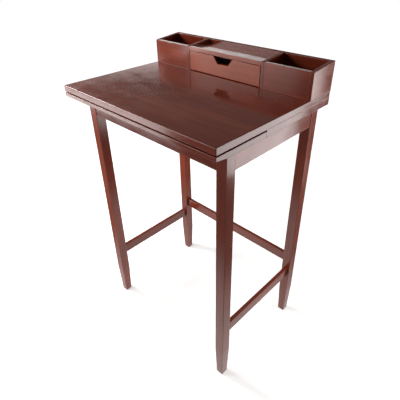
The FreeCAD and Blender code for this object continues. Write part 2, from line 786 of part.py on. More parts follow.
# ---------------------------------------------------------------- organizer
def make_dowels():
    """Dowels in the organizer's joints, and dowels that fix it to the top board."""
    front_y = f"({organizer_front} + {s.panel_thickness} / 2)"
    back_y = f"({rear_edge} - {s.panel_thickness} / 2)"
    heights = [f"({s.work_height} + {s.dowel_low})", f"({s.work_height} + {s.dowel_high})"]
    rail_z = f"({front_top} - {s.rail_height} / 2)"
    divider_x = f"({divider_inner} + {s.panel_thickness} / 2)"
    side_x = f"({half_width} - {s.panel_thickness} / 2)"
    joints = []
    for side in SIDES.values():
        outward = "+x" if side > 0 else "-x"
        inward = "-x" if side > 0 else "+x"
        in_side = f"({side} * ({side_inner} + {s.dowel_in_face}))"
        in_divider = f"({side} * ({divider_outer} - {s.dowel_in_face}))"
        for z in heights:
            joints.append(((in_side, front_y, z), inward))
            joints.append(((in_side, back_y, z), inward))
            joints.append(((in_divider, front_y, z), outward))
            joints.append(((f"({side} * {divider_x})", f"({back_face} + {s.dowel_in_face})", z), "-y"))
        joints.append(((f"({side} * ({divider_inner} + {s.dowel_in_face}))", front_y, rail_z), inward))
    joint_holes = dowel_set("organizer_dowels", joints)
    base_z = f"({s.work_height} - {s.dowel_in_face})"
    near_y = f"({organizer_front} + {s.dowel_inset})"
    far_y = f"({back_face} - {s.dowel_inset})"
    feet = [(("0", back_y, base_z), "+z")]
    for side in SIDES.values():
        for x in (side_x, divider_x):
            for y in (near_y, far_y):
                feet.append(((f"({side} * {x})", y, base_z), "+z"))
        for y in (front_y, back_y):
            feet.append(((f"({side} * {bay_middle})", y, base_z), "+z"))
    base_holes = dowel_set("organizer_base_dowels", feet)
    return joint_holes, base_holes


def sloped(bottom, span_y):
    """The heights of a panel whose top follows the organizer's slope."""
    return bottom, organizer_top(span_y[0]), organizer_top(span_y[1])


def organizer_panel(name, span_x, span_y, heights, cuts):
    """An organizer panel from a bottom to the two heights of its top, at its front and its back."""
    bottom, top_front, top_back = heights
    outline = [
        (span_y[0], bottom),
        (span_y[1], bottom),
        (span_y[1], top_back),
        (span_y[0], top_front),
    ]
    panel = prism(f"{name}_body", "x", outline, span_x)
    floor = all_at("z", bottom)
    rear = all_at("y", span_y[1])
    soften(panel, s.edge_arris, lambda ends: not floor(ends) and not rear(ends))
    keep(name, cut(f"{name}_cut", panel, cuts))


def make_organizer(holes):
    """The box at the rear: two open bays, and a sunk tray over the drawer."""
    ground = s.work_height
    front_y = (organizer_front, panel_back)
    tray_spans = (
        (f"(-{divider_inner} - {s.tray_housing})", f"({divider_inner} + {s.tray_housing})"),
        (panel_back, back_face),
        (tray_bottom, tray_top),
    )
    keep("tray_board", box("tray_board_stick", *tray_spans))
    housings = box("tray_housings", *(grown(span, s.joint_clearance) for span in tray_spans))
    for word, side in SIDES.items():
        side_x = across(side, side_inner, half_width)
        divider_x = across(side, divider_inner, divider_outer)
        bay_x = across(side, divider_outer, side_inner)
        side_y = (organizer_front, rear_edge)
        divider_y = (organizer_front, back_face)
        organizer_panel(f"organizer_side_{word}", side_x, side_y, sloped(ground, side_y), holes)
        divider_z = sloped(ground, divider_y)
        organizer_panel(f"organizer_divider_{word}", divider_x, divider_y, divider_z, holes + [housings])
        organizer_panel(f"organizer_front_{word}", bay_x, front_y, (ground, front_top, front_top), holes)
    back_x = (f"(-{side_inner})", side_inner)
    back_y = (back_face, rear_edge)
    organizer_panel("organizer_back", back_x, back_y, sloped(ground, back_y), holes)
    rail_x = (f"(-{divider_inner})", divider_inner)
    organizer_panel("tray_rail", rail_x, front_y, (opening_top, front_top, front_top), holes)


# ---------------------------------------------------------------- drawer
def make_drawer_nails():
    """Nails through the drawer's sides into its front and back, and up through its bottom."""
    seats = []
    joint_y = f"(({drawer_side_front} + {drawer_front_back}) / 2)"
    back_y = f"(({drawer_back_front} + {drawer_back}) / 2)"
    heights = (f"({drawer_base} + {s.nail_inset})", f"({drawer_box_top} - {s.nail_inset})")
    for side in SIDES.values():
        inward = "-x" if side > 0 else "+x"
        for y in (joint_y, back_y):
            for z in heights:
                seats.append(((f"({side} * {drawer_half})", y, z), inward))
    for steps in (-1, 0, 1):
        x = f"({steps} * {drawer_inner_half} / 2)"
        seats.append(((x, back_y, drawer_floor), "+z"))
    nails = []
    holes = []
    for index, (start, direction) in enumerate(seats, start=1):
        nails.append(rod(f"nail{index}", start, direction, s.nail_length, s.nail_radius))
        hole_length = f"{s.nail_length} + {s.end_clearance}"
        hole_radius = f"{s.nail_radius} + {s.joint_clearance}"
        holes.append(rod(f"nail_hole{index}", start, direction, hole_length, hole_radius))
    keep("drawer_nails", together("drawer_nails_set", nails))
    return together("drawer_nail_holes", holes)


def make_drawer():
    """A small drawer with a finger notch in its front, running on the top board."""
    nail_holes = make_drawer_nails()
    low = f"({s.work_height} + {s.drawer_gap})"
    high = f"({opening_top} - {s.drawer_gap})"
    notch_floor = f"({high} - {s.notch_depth})"
    outline = [
        (f"-{drawer_half}", low),
        (drawer_half, low),
        (drawer_half, high),
        (f"{s.notch_top_width} / 2", high),
        (f"{s.notch_bottom_width} / 2", notch_floor),
        (f"-{s.notch_bottom_width} / 2", notch_floor),
        (f"-{s.notch_top_width} / 2", high),
        (f"-{drawer_half}", high),
    ]
    front = prism("drawer_front_board", "y", outline, (organizer_front, drawer_front_back))
    soften(front, s.edge_arris, all_at("y", organizer_front))
    floor_spans = (
        grown((f"(-{drawer_inner_half})", drawer_inner_half), s.drawer_groove),
        (f"({drawer_front_back} - {s.drawer_groove})", drawer_back),
        (drawer_floor, drawer_floor_top),
    )
    groove = box("drawer_grooves", *(grown(span, s.joint_clearance) for span in floor_spans))
    side_ys = (drawer_side_front, drawer_back)
    side_zs = (drawer_base, drawer_box_top)
    room_ys = grown(side_ys, s.joint_clearance)
    room_zs = grown(side_zs, s.drawer_gap)
    rabbets = []
    for word, side in SIDES.items():
        name = f"drawer_side_{word}"
        xs = across(side, drawer_inner_half, drawer_half)
        rabbets.append(box(f"{name}_room", grown(xs, s.joint_clearance), room_ys, room_zs))
        keep(name, cut(f"{name}_cut", box(f"{name}_stick", xs, side_ys, side_zs), [groove, nail_holes]))
    keep("drawer_front", cut("drawer_front_cut", front, rabbets + [groove, nail_holes]))
    back_spans = (
        (f"(-{drawer_inner_half})", drawer_inner_half),
        (drawer_back_front, drawer_back),
        (drawer_floor_top, drawer_box_top),
    )
    keep("drawer_back", cut("drawer_back_cut", box("drawer_back_stick", *back_spans), [nail_holes]))
    keep("drawer_bottom", cut("drawer_bottom_cut", box("drawer_bottom_sheet", *floor_spans), [nail_holes]))
    stop_back = f"({drawer_back_front} - {s.drawer_travel} - {s.slide_clearance})"
    stop_ys = (f"({stop_back} - {s.stop_depth})", stop_back)
    stop_zs = (f"({drawer_box_top} - {s.stop_overlap})", tray_bottom)
    keep("drawer_stop", box("drawer_stop_block", about("0", s.stop_width), stop_ys, stop_zs))


# ---------------------------------------------------------------- the whole desk
def make_desk():
    """All sub-parts, the base first."""
    paths = runner_paths()
    bearer_housings = make_bearer(paths)
    block_holes = make_corner_blocks()
    holes_across, holes_up = make_cleats()
    aprons = make_aprons(paths, [bearer_housings], [block_holes, holes_across])
    stretchers = make_stretchers()
    make_legs(aprons, stretchers, make_glides())
    leaf_holes = make_leaf()
    make_runners(leaf_holes)
    make_felt_pads()
    joint_holes, base_holes = make_dowels()
    top_holes = make_top_screws()
    make_under_board([holes_up, top_holes])
    make_top_board(top_holes, base_holes)
    make_organizer([joint_holes, base_holes])
    make_drawer()


def check_document():
    """Stop if any object failed, or a piece's shape is empty or broken."""
    for item in doc.Objects:
        if "Invalid" in item.State or "Error" in item.State:
            raise RuntimeError(f"{item.Name} failed: {item.State}")
    for name, item in pieces.items():
        shape = item.Shape
        if shape.isNull() or not shape.isValid() or not shape.Solids:
            raise RuntimeError(f"{name} has no good shape")


def write_pieces():
    """One STEP file for each piece."""
    os.makedirs("parts", exist_ok=True)
    for name, item in pieces.items():
        item.Shape.exportStep(f"parts/{name}.step")
        print(name, len(item.Shape.Solids), "solids", round(item.Shape.Volume / 1000, 1), "cm3")
    print(len(pieces), "nodes")


make_desk()
doc.recompute()
check_document()
write_pieces()
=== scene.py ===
import json
import math

import bmesh
import bpy
from mathutils import Euler, Matrix, Vector

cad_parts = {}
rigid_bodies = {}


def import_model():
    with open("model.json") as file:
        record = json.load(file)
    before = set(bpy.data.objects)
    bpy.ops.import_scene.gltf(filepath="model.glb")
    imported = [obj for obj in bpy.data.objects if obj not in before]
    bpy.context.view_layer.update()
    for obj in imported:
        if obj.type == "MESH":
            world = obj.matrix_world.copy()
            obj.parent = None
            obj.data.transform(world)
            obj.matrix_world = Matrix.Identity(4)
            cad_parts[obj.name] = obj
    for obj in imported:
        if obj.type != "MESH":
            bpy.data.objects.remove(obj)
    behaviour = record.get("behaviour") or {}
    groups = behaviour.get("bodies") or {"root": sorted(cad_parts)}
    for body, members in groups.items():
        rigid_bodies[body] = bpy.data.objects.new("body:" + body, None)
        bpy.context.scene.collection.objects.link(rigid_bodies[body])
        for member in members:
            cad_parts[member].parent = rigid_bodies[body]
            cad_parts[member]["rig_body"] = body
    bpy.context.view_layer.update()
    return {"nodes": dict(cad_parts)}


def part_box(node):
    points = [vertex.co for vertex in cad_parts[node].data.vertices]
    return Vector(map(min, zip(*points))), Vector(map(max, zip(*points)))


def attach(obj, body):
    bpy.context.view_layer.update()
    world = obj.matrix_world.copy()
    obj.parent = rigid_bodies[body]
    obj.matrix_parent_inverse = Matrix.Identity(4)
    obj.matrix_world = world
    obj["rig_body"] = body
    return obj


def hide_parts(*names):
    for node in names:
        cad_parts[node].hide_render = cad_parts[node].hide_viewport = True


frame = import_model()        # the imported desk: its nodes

print("frame loaded:", len(frame["nodes"]), "nodes")


def linear(hexText):
    # a colour as it looks on screen, turned to the linear values that shaders work in
    channels = [int(hexText[index:index + 2], 16) / 255 for index in (1, 3, 5)]
    bent = [value / 12.92 if value <= 0.04045 else ((value + 0.055) / 1.055) ** 2.4 for value in channels]
    return (*bent, 1.0)


def addNode(tree, kind, links=None, output=None, **settings):
    # adds a node, sets or links its inputs by identifier or name, and gives back one of its outputs
    node = tree.nodes.new(kind)
    for name, value in settings.items():
        setattr(node, name, value)
    for name, value in (links or {}).items():
        socket = next(item for item in node.inputs if name in (item.identifier, item.name) and item.enabled)
        if isinstance(value, bpy.types.NodeSocket):
            tree.links.new(value, socket)
        else:
            socket.default_value = value
    usable = [item for item in node.outputs if item.enabled]
    if output:
        return next(item for item in usable if output in (item.identifier, item.name))
    return usable[0] if usable else node


# the camera
camera = {
    "azimuth": 44.356,     # degrees; 0 looks straight at the front
    "elevation": 31.664,
    "roll": 0.871,
    "place": (0.9031, -0.8725, 1.4711),
    "lens": 33.876,        # mm
    "sensor": 36,          # mm wide
    "shift": (-0.0102, -0.0538),
}


def placeCamera():
    data = bpy.data.cameras.new("deskCamera")
    data.sensor_width = camera["sensor"]
    data.lens = camera["lens"]
    data.shift_x, data.shift_y = camera["shift"]
    eye = bpy.data.objects.new("deskCamera", data)
    bpy.context.scene.collection.objects.link(eye)
    pitch = math.radians(90 - camera["elevation"])
    turned = Euler((pitch, 0, math.radians(camera["azimuth"]))).to_matrix()
    rolled = turned @ Matrix.Rotation(-math.radians(camera["roll"]), 3, "Z")
    eye.matrix_world = Matrix.Translation(camera["place"]) @ rolled.to_4x4()
    bpy.context.scene.camera = eye


placeCamera()
bpy.context.scene.view_settings.view_transform = "Standard"
print("camera placed")


noiseSpan = (0.3, 0.7)           # nearly all of a noise texture's values lie between these

# what all the wood shares
wood = {
    "fineness": 0.55,            # how much the finer levels of a grain pattern count
    "fleckEdge": (0.14, 0.3),    # where a ray fleck starts and ends fading, in shares of its size
    "endGrain": (0.6, 0.9),      # how squarely a face cuts the fibres, from the first end grain to all of it
}


def newMaterial(name):
    material = bpy.data.materials.new(name)
    material.use_nodes = True
    material.node_tree.nodes.clear()
    return material, material.node_tree


def grainSpace(tree, grain, offset, size):
    # the piece's own coordinates, counted in a pattern's size: so many mm along the grain, so many across
    along, across = (1000 / part for part in size)
    scale = [along if axis == grain else across for axis in "xyz"]
    place = addNode(tree, "ShaderNodeTexCoord", output="Object")
    return addNode(tree, "ShaderNodeMapping", {"Vector": place, "Location": offset, "Scale": scale})


def woodPattern(tree, grain, offset, pattern):
    # one layer of grain; its pattern gives mm along the grain, mm across it and levels of detail
    *size, detail = pattern
    laid = grainSpace(tree, grain, offset, size)
    return addNode(tree, "ShaderNodeTexNoise",
                   {"Vector": laid, "Scale": 1.0, "Detail": detail, "Roughness": wood["fineness"]})


def rayFlecks(tree, grain, offset, size):
    # short dark dashes along the grain, as beech shows
    laid = grainSpace(tree, grain, offset, size)
    cells = addNode(tree, "ShaderNodeTexVoronoi", {"Vector": laid, "Scale": 1.0}, "Distance")
    inner, outer = wood["fleckEdge"]
    return addNode(tree, "ShaderNodeMapRange",
                   {"Value": cells, "From Min": inner, "From Max": outer, "To Min": 1.0, "To Max": 0.0})


def endGrain(tree, grain):
    # 1 where the surface cuts across the fibres
    facing = addNode(tree, "ShaderNodeTexCoord", output="Normal")
    along = addNode(tree, "ShaderNodeSeparateXYZ", {"Vector": facing}, grain.upper())
    steep = addNode(tree, "ShaderNodeMath", {"Value": along}, operation="ABSOLUTE")
    start, end = wood["endGrain"]
    return addNode(tree, "ShaderNodeMapRange", {"Value": steep, "From Min": start, "From Max": end})


def dress(node, material):
    slots = frame["nodes"][node].data.materials
    slots.clear()
    slots.append(material)


# stained beech; a pattern is mm along the grain, mm across it and levels of detail
stain = {
    "deep": "#4f1d12",          # where the stain lies thick
    "middle": "#78311e",
    "thin": "#a04a2e",
    "rubbed": "#a6583b",        # arrises, where sanding cut into the stain
    "fleck": "#562014",
    "figure": (420, 24, 4.0),
    "fibre": (170, 3.6, 3.0),
    "cloud": (340, 190, 2.0),   # uneven take-up of the stain
    "haze": (70, 50, 3.0),      # lacquer thickness
    "peel": (7, 6, 1.0),        # lacquer that didn't quite flow out
    "fleckSize": (9, 1.2),      # mm; ray flecks are finer, and drawn this coarse so that they show
    "weights": {"figure": 0.3, "fibre": 0.14, "cloud": 0.4},    # how far each pattern shifts the tone
    "tone": 0.08,               # a board's tone before its patterns
    "stops": {"deep": 0.2, "middle": 0.5, "thin": 0.8},         # the tone at which each colour is reached
    "fleckStrength": 0.3,
    "thirst": 0.4,              # how far end grain drinks itself dark
    "rubbedWidth": 0.0016,      # metres from the arris
    "rubbing": (0.15, 0.5),     # how far it is rubbed where little and much stain was taken up
    "takeUp": (0.35, 0.65),     # the cloud's values at those two
    "gloss": (0.1, 0.18),       # roughness of the lacquer film
    "thinFilmWidth": 0.003,     # metres from the arris
    "arrisRoughness": 0.32,     # where the film runs thin and fibres show
    "fibreRelief": 0.6,         # the fibres' height, in shares of the peel's
    "reliefStrength": 0.1,
    "reliefHeight": 0.00004,
    "ior": 1.5,
}


def arrisMask(tree, place, node, width, foot):
    # 1 on the long edges of a box-shaped piece, gone at width from them:
    # near an edge, the second nearest of the box's faces is close too
    low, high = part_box(node)
    fromLow = addNode(tree, "ShaderNodeVectorMath", {"Vector": place, "Vector_001": low},
                      operation="SUBTRACT")
    fromHigh = addNode(tree, "ShaderNodeVectorMath", {"Vector": high, "Vector_001": place},
                       operation="SUBTRACT")
    near = addNode(tree, "ShaderNodeVectorMath", {"Vector": fromLow, "Vector_001": fromHigh},
                   operation="MINIMUM")
    if foot:
        level = addNode(tree, "ShaderNodeSeparateXYZ", {"Vector": place}, "Z")
        inset = addNode(tree, "ShaderNodeMapRange",
                        {"Value": level, "From Min": 0.0, "From Max": foot["height"],
                         "To Min": foot["inset"], "To Max": 0.0})
        sides = addNode(tree, "ShaderNodeCombineXYZ", {"X": inset, "Y": inset})
        near = addNode(tree, "ShaderNodeVectorMath", {"Vector": near, "Vector_001": sides},
                       operation="SUBTRACT")
    parts = addNode(tree, "ShaderNodeSeparateXYZ", {"Vector": near}, "X").node.outputs
    sideways = {"Value": parts[0], "Value_001": parts[1]}
    lesser = addNode(tree, "ShaderNodeMath", sideways, operation="MINIMUM")
    greater = addNode(tree, "ShaderNodeMath", sideways, operation="MAXIMUM")
    other = addNode(tree, "ShaderNodeMath", {"Value": greater, "Value_001": parts[2]}, operation="MINIMUM")
    second = addNode(tree, "ShaderNodeMath", {"Value": lesser, "Value_001": other}, operation="MAXIMUM")
    return addNode(tree, "ShaderNodeMapRange",
                   {"Value": second, "From Min": 0.0, "From Max": width, "To Min": 1.0, "To Max": 0.0})


def stainedBeech(node, grain, offset, stainTakeAndShade, foot=None):
    # beech, planed and sanded, wiped with a reddish walnut stain and sprayed with satin lacquer:
    # quiet straight grain under a smooth film that mirrors softly; the shift in a board's tone stands for how
    # the stain took and, on some boards, also paints shade or sheen
    material, tree = newMaterial(f"stainedBeech_{node}")
    layers = {name: woodPattern(tree, grain, offset, stain[name])
              for name in ("figure", "fibre", "cloud", "haze", "peel")}
    tone = stain["tone"] + stainTakeAndShade
    for name, weight in stain["weights"].items():
        tone = addNode(tree, "ShaderNodeMath",
                       {"Value": layers[name], "Value_001": weight, "Value_002": tone},
                       operation="MULTIPLY_ADD")
    colour = addNode(tree, "ShaderNodeValToRGB", {"Fac": tone}, "Color")
    stops = colour.node.color_ramp.elements
    stops.new(stain["stops"]["middle"])
    for stop, (name, position) in zip(stops, stain["stops"].items()):
        stop.position = position
        stop.color = linear(stain[name])
    flecks = rayFlecks(tree, grain, offset, stain["fleckSize"])
    darker = {"fleck": (flecks, stain["fleckStrength"]), "deep": (endGrain(tree, grain), stain["thirst"])}
    for name, (mask, strength) in darker.items():
        share = addNode(tree, "ShaderNodeMath", {"Value": mask, "Value_001": strength}, operation="MULTIPLY")
        colour = addNode(tree, "ShaderNodeMix", {"Factor_Float": share, "A_Color": colour,
                                                 "B_Color": linear(stain[name])}, data_type="RGBA")
    place = addNode(tree, "ShaderNodeTexCoord", output="Object")
    arris = arrisMask(tree, place, node, stain["rubbedWidth"], foot)
    little, much = stain["takeUp"]
    least, most = stain["rubbing"]
    uneven = addNode(tree, "ShaderNodeMapRange",
                     {"Value": layers["cloud"], "From Min": little, "From Max": much, "To Min": least,
                      "To Max": most})
    worn = addNode(tree, "ShaderNodeMath", {"Value": arris, "Value_001": uneven}, operation="MULTIPLY")
    colour = addNode(tree, "ShaderNodeMix", {"Factor_Float": worn, "A_Color": colour,
                                             "B_Color": linear(stain["rubbed"])}, data_type="RGBA")
    smooth, dull = stain["gloss"]
    gloss = addNode(tree, "ShaderNodeMapRange",
                    {"Value": layers["haze"], "From Min": noiseSpan[0], "From Max": noiseSpan[1],
                     "To Min": smooth, "To Max": dull})
    thinFilm = arrisMask(tree, place, node, stain["thinFilmWidth"], foot)
    gloss = addNode(tree, "ShaderNodeMix", {"Factor_Float": thinFilm, "A_Float": gloss,
                                            "B_Float": stain["arrisRoughness"]})
    height = addNode(tree, "ShaderNodeMath",
                     {"Value": layers["fibre"], "Value_001": stain["fibreRelief"],
                      "Value_002": layers["peel"]}, operation="MULTIPLY_ADD")
    bump = addNode(tree, "ShaderNodeBump", {"Height": height, "Strength": stain["reliefStrength"],
                                            "Distance": stain["reliefHeight"]})
    surface = addNode(tree, "ShaderNodeBsdfPrincipled",
                      {"Base Color": colour, "Roughness": gloss, "IOR": stain["ior"], "Normal": bump})
    addNode(tree, "ShaderNodeOutputMaterial", {"Surface": surface})
    return material


# each stained piece is cut from its own board: the way its grain runs, where in the wood it lies,
# and how light the stain came out on it; on the boards marked below this shift also paints shade or sheen
stainedPieces = {
    "top_board": ("x", (3.1, 4.0, 9.05), -0.02),
    "under_board": ("x", (12.1, 5.3, 0.77), 0.04),
    "pull_out_leaf": ("x", (27.5, 1.4, 3.3), 0.0),
    # painted shade: the front apron's tone is shifted 0.1 darker for the shade under the leaf's overhang
    "apron_front": ("x", (4.2, 9.1, 2.6), -0.1),
    "apron_rear": ("x", (9.9, 0.6, 7.0), 0.0),
    "apron_left": ("y", (0.77, 13.0, 1.2), 0.0),
    "apron_right": ("y", (13.33, 2.1, 4.8), 0.0),
    "stretcher_left": ("y", (6.4, 0.75, 15.0), 0.0),
    "stretcher_right": ("y", (1.5, 21.0, 3.0), 0.0),
    "stretcher_rear": ("x", (31.0, 4.8, 0.9), 0.0),
    "leg_front_left": ("z", (5.0, 1.9, 22.0), 0.03),
    # partly painted shade: shifted 0.05 darker, part stain and part the shade on the right legs' fronts
    "leg_front_right": ("z", (17.0, 6.4, 8.0), -0.05),
    "leg_rear_left": ("z", (0.9, 12.1, 4.1), 0.0),
    # partly painted shade: shifted 0.05 darker, part stain and part the shade on the right legs' fronts
    "leg_rear_right": ("z", (24.8, 3.3, 16.5), -0.05),
    "organizer_side_left": ("y", (8.7, 0.25, 6.1), 0.0),
    "organizer_side_right": ("y", (0.6, 18.9, 1.7), 0.0),
    "organizer_divider_left": ("y", (14.5, 7.0, 0.5), 0.1),
    "organizer_divider_right": ("y", (2.05, 2.6, 13.2), 0.05),
    "organizer_front_left": ("x", (7.3, 16.0, 2.5), 0.07),
    "organizer_front_right": ("x", (19.8, 0.9, 5.6), 0.0),
    "organizer_back": ("x", (2.8, 23.0, 0.95), -0.06),
    "tray_rail": ("x", (11.2, 4.1, 19.0), 0.2),
    # partly painted sheen: shifted 0.15 lighter, part stain and part the pale sheen on the tray's lacquer
    "tray_board": ("x", (0.35, 8.2, 12.3), 0.15),
    "drawer_front": ("x", (26.0, 10.1, 4.4), 0.3),
    "leaf_runner_left": ("y", (3.9, 17.2, 6.6), 0.0),      # stained too, as their ends show in the apron
    "leaf_runner_right": ("y", (21.4, 0.3, 9.8), 0.0),
}
footTaper = {"height": 0.148, "inset": 0.0045}    # the legs narrow below this height, by this much a side

for node, (grain, offset, stainTakeAndShade) in stainedPieces.items():
    foot = footTaper if node.startswith("leg_") else None
    dress(node, stainedBeech(node, grain, offset, stainTakeAndShade, foot))
print("stained beech:", len(stainedPieces), "pieces")


# bare wood inside
bareBeech = {"light": "#d8b488", "dark": "#c0946a", "roughness": (0.5, 0.68)}
birchPly = {"light": "#e0c79c", "dark": "#cfae7e", "roughness": (0.45, 0.6)}
# painted shade: near-black wood for the shade seen through the drawer's finger notch
notchShadeBeech = {"light": "#2a120c", "dark": "#1b0b07", "roughness": (0.8, 0.95)}
planed = {
    "figure": (260, 14, 4.0),
    "fibre": (90, 2.5, 3.0),
    "fleckSize": (7, 1.0),
    "fibreWeight": 0.5,         # the fibres' share in the tone, next to the figure's 1
    "tones": (0.6, 0.9),        # the tones of the light and the dark wood
    "fleckStrength": 0.5,
    "endStrength": 0.5,
    "reliefStrength": 0.4,
    "reliefHeight": 0.0002,
    "ior": 1.45,
}


def bareWood(name, grain, offset, look):
    # planed and left without a finish: pale and dry, faint grain, short brown flecks
    material, tree = newMaterial(name)
    figure = woodPattern(tree, grain, offset, planed["figure"])
    fibre = woodPattern(tree, grain, offset, planed["fibre"])
    flecks = rayFlecks(tree, grain, offset, planed["fleckSize"])
    tone = addNode(tree, "ShaderNodeMath",
                   {"Value": fibre, "Value_001": planed["fibreWeight"], "Value_002": figure},
                   operation="MULTIPLY_ADD")
    light, dark = planed["tones"]
    tone = addNode(tree, "ShaderNodeMapRange", {"Value": tone, "From Min": light, "From Max": dark})
    colour = addNode(tree, "ShaderNodeMix", {"Factor_Float": tone, "A_Color": linear(look["light"]),
                                             "B_Color": linear(look["dark"])}, data_type="RGBA")
    brown = addNode(tree, "ShaderNodeMath", {"Value": flecks, "Value_001": planed["fleckStrength"]},
                    operation="MULTIPLY")
    ends = addNode(tree, "ShaderNodeMath",
                   {"Value": endGrain(tree, grain), "Value_001": planed["endStrength"]},
                   operation="MULTIPLY")
    darker = addNode(tree, "ShaderNodeMath", {"Value": brown, "Value_001": ends}, operation="MAXIMUM")
    colour = addNode(tree, "ShaderNodeMix", {"Factor_Float": darker, "A_Color": colour,
                                             "B_Color": linear(look["dark"])}, data_type="RGBA")
    smooth, coarse = look["roughness"]
    rough = addNode(tree, "ShaderNodeMapRange",
                    {"Value": figure, "From Min": noiseSpan[0], "From Max": noiseSpan[1], "To Min": smooth,
                     "To Max": coarse})
    bump = addNode(tree, "ShaderNodeBump", {"Height": fibre, "Strength": planed["reliefStrength"],
                                            "Distance": planed["reliefHeight"]})
    surface = addNode(tree, "ShaderNodeBsdfPrincipled",
                      {"Base Color": colour, "Roughness": rough, "IOR": planed["ior"], "Normal": bump})
    addNode(tree, "ShaderNodeOutputMaterial", {"Surface": surface})
    return material


barePieces = {
    "x": ["leaf_bearer", "drawer_back"],
    "y": ["drawer_side_left", "drawer_side_right", "top_cleat_left", "top_cleat_right"],
    "z": ["corner_block_front_left", "corner_block_front_right", "corner_block_rear_left",
          "corner_block_rear_right", "leaf_stop_pins"],
}
boardStep = (6.13, 0.97, 2.51)    # how far apart in the wood one bare piece and the next are cut
# where in the wood the other bare pieces are cut
cutAt = {"bottom": (5.0, 7.7, 1.9), "stop": (18.0, 2.9, 7.2), "dowels": (4.4, 2.2, 8.1)}
for grain, nodes in barePieces.items():
    for index, node in enumerate(nodes):
        offset = tuple(index * step for step in boardStep)
        dress(node, bareWood(f"bareBeech_{node}", grain, offset, bareBeech))
dress("drawer_bottom", bareWood("birchPly_drawer_bottom", "x", cutAt["bottom"], birchPly))
# painted shade: the stop shows through the finger notch, so it is coloured near black, matt and without
# lacquer, for the shade inside the notch
dress("drawer_stop", bareWood("darkBeech_drawer_stop", "x", cutAt["stop"], notchShadeBeech))
print("bare wood dressed")


# metal, felt and nylon; a pattern is its scale per metre and its levels of detail
zinc = {"dark": "#a9adb3", "light": "#c8cacb", "mottle": (700.0, 3.0), "roughness": (0.24, 0.4)}
wool = {"dark": "#2a2927", "light": "#4d4a46", "fluff": (2200.0, 4.0), "fluffRoughness": 0.7,
        "roughness": 0.95, "sheen": 0.3, "reliefStrength": 0.8, "reliefHeight": 0.0004}
moulding = {"dark": "#cbc7bb", "light": "#dedbd2", "scuff": (260.0, 4.0), "roughness": (0.32, 0.55),
            "ior": 1.53}


def zincSteel():
    # zinc-plated steel: bright grey with the fine mottle of the plating, about 1.4 mm across
    material, tree = newMaterial("zincPlatedSteel")
    place = addNode(tree, "ShaderNodeTexCoord", output="Object")
    scale, detail = zinc["mottle"]
    mottle = addNode(tree, "ShaderNodeTexNoise", {"Vector": place, "Scale": scale, "Detail": detail})
    colour = addNode(tree, "ShaderNodeMix", {"Factor_Float": mottle, "A_Color": linear(zinc["dark"]),
                                             "B_Color": linear(zinc["light"])}, data_type="RGBA")
    smooth, coarse = zinc["roughness"]
    rough = addNode(tree, "ShaderNodeMapRange",
                    {"Value": mottle, "From Min": noiseSpan[0], "From Max": noiseSpan[1], "To Min": smooth,
                     "To Max": coarse})
    surface = addNode(tree, "ShaderNodeBsdfPrincipled",
                      {"Base Color": colour, "Metallic": 1.0, "Roughness": rough})
    addNode(tree, "ShaderNodeOutputMaterial", {"Surface": surface})
    return material


def pressedFelt():
    # wool felt: dull charcoal, a mat of short fibres drawn as tufts of about half a millimetre
    material, tree = newMaterial("pressedWoolFelt")
    place = addNode(tree, "ShaderNodeTexCoord", output="Object")
    scale, detail = wool["fluff"]
    fluff = addNode(tree, "ShaderNodeTexNoise", {"Vector": place, "Scale": scale, "Detail": detail,
                                                 "Roughness": wool["fluffRoughness"]})
    colour = addNode(tree, "ShaderNodeMix", {"Factor_Float": fluff, "A_Color": linear(wool["dark"]),
                                             "B_Color": linear(wool["light"])}, data_type="RGBA")
    bump = addNode(tree, "ShaderNodeBump", {"Height": fluff, "Strength": wool["reliefStrength"],
                                            "Distance": wool["reliefHeight"]})
    surface = addNode(tree, "ShaderNodeBsdfPrincipled",
                      {"Base Color": colour, "Roughness": wool["roughness"], "Sheen Weight": wool["sheen"],
                       "Normal": bump})
    addNode(tree, "ShaderNodeOutputMaterial", {"Surface": surface})
    return material


def mouldedNylon():
    # injection-moulded nylon: off-white and waxy, with light scuffs about 4 mm long
    material, tree = newMaterial("mouldedNylon")
    place = addNode(tree, "ShaderNodeTexCoord", output="Object")
    scale, detail = moulding["scuff"]
    scuff = addNode(tree, "ShaderNodeTexNoise", {"Vector": place, "Scale": scale, "Detail": detail})
    colour = addNode(tree, "ShaderNodeMix", {"Factor_Float": scuff, "A_Color": linear(moulding["dark"]),
                                             "B_Color": linear(moulding["light"])}, data_type="RGBA")
    smooth, coarse = moulding["roughness"]
    rough = addNode(tree, "ShaderNodeMapRange",
                    {"Value": scuff, "From Min": noiseSpan[0], "From Max": noiseSpan[1], "To Min": smooth,
                     "To Max": coarse})
    surface = addNode(tree, "ShaderNodeBsdfPrincipled",
                      {"Base Color": colour, "Roughness": rough, "IOR": moulding["ior"]})
    addNode(tree, "ShaderNodeOutputMaterial", {"Surface": surface})
    return material


# screws, dowels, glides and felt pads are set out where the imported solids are
def newTree(name, inputs):
    # a Geometry Nodes tree with named inputs, and the sockets that give their values
    tree = bpy.data.node_groups.new(name, "GeometryNodeTree")
    tree.interface.new_socket("Seats", in_out="INPUT", socket_type="NodeSocketGeometry")
    for label, kind in inputs.items():
        tree.interface.new_socket(label, in_out="INPUT", socket_type=f"NodeSocket{kind}")
    tree.interface.new_socket("Pieces", in_out="OUTPUT", socket_type="NodeSocketGeometry")
    given = {socket.name: socket for socket in addNode(tree, "NodeGroupInput").node.outputs}
    return tree, given


